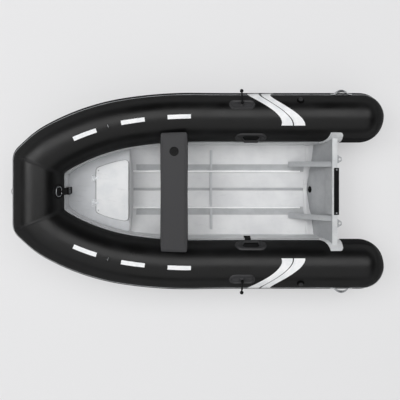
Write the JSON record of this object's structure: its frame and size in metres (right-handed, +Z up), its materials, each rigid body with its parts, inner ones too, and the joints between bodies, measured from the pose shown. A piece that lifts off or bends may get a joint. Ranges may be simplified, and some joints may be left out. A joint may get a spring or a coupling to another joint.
{
  "type": "rigid inflatable boat",
  "caption": "Small inflatable rib boat: V-bottom metal hull inside a horseshoe of black air tubes, with a bench seat, bow locker under a hinged lid, and raked transom.",
  "frame": {"origin": "on the light waterline, on the centreline, at mid length", "axes": "+X forward to the bow, +Y to port, +Z up"},
  "size_m": [3.0323, 1.6326, 0.6218],
  "materials": {
    "tube_fabric": "smooth coated fabric, satin, with glued seams",
    "strake_rubber": "moulded rubber, matt",
    "hull_paint": "light grey powder coat on welded aluminium plate",
    "lid_paint": "pale grey powder coat with a fine non-slip grain",
    "transom_paint": "mid grey powder coat",
    "cap_metal": "light grey powder coat on aluminium",
    "black_plastic": "moulded black plastic, fine grain",
    "black_webbing_tape": "woven black webbing and coated tape",
    "seat_fabric": "dark grey coated fabric over drop-stitch",
    "stainless_steel": "satin stainless steel"
  },
  "bodies": {
    "hull": {"tube_port": "tube_fabric", "tube_starboard": "tube_fabric", "tube_bow": "tube_fabric", "rub_strake": "strake_rubber", "bottom_plate_port": "hull_paint", "bottom_plate_starboard": "hull_paint", "keel_profile": "hull_paint", "side_wall_port": "hull_paint", "side_wall_starboard": "hull_paint", "bow_wall": "hull_paint", "gunwale_rail": "hull_paint", "tube_cradle": "black_webbing_tape", "floor_stringers": "hull_paint", "floor_frame": "hull_paint", "transom_foot_angle": "hull_paint", "transom": "transom_paint", "transom_cap": "cap_metal", "motor_pad": "black_plastic", "clamp_plate": "cap_metal", "transom_saddle_port": "transom_paint", "transom_saddle_starboard": "transom_paint", "transom_knee_port": "hull_paint", "transom_knee_starboard": "hull_paint", "lifting_eyes": "cap_metal", "drain_plug": "black_plastic", "locker_bulkhead": "hull_paint", "bow_deck": "hull_paint", "lid_hinge_fixed": "stainless_steel", "tow_ring_patch": "strake_rubber", "towing_ring": "stainless_steel", "d_ring_patch": "strake_rubber", "bow_d_ring": "stainless_steel", "bow_strap": "black_webbing_tape", "strap_buckle": "black_plastic", "bench_seat": "seat_fabric", "seat_valve": "black_plastic", "oarlock_bases": "black_plastic", "oarlock_pins": "black_plastic", "carry_handles": "black_plastic", "stern_grab_handles": "stainless_steel", "tube_valves": "black_plastic", "side_clip": "black_plastic"},
    "locker_lid": {"bow_locker_lid": "lid_paint", "lid_hinge_moving": "stainless_steel"}
  },
  "joints": [
    {"name": "bow_locker_lid_hinge", "type": "hinge", "parent": "hull", "child": "locker_lid", "pos_m": [0.881, 0, 0.1418], "axis": [0, 1, 0], "range_deg": [0, 90]}
  ]
}
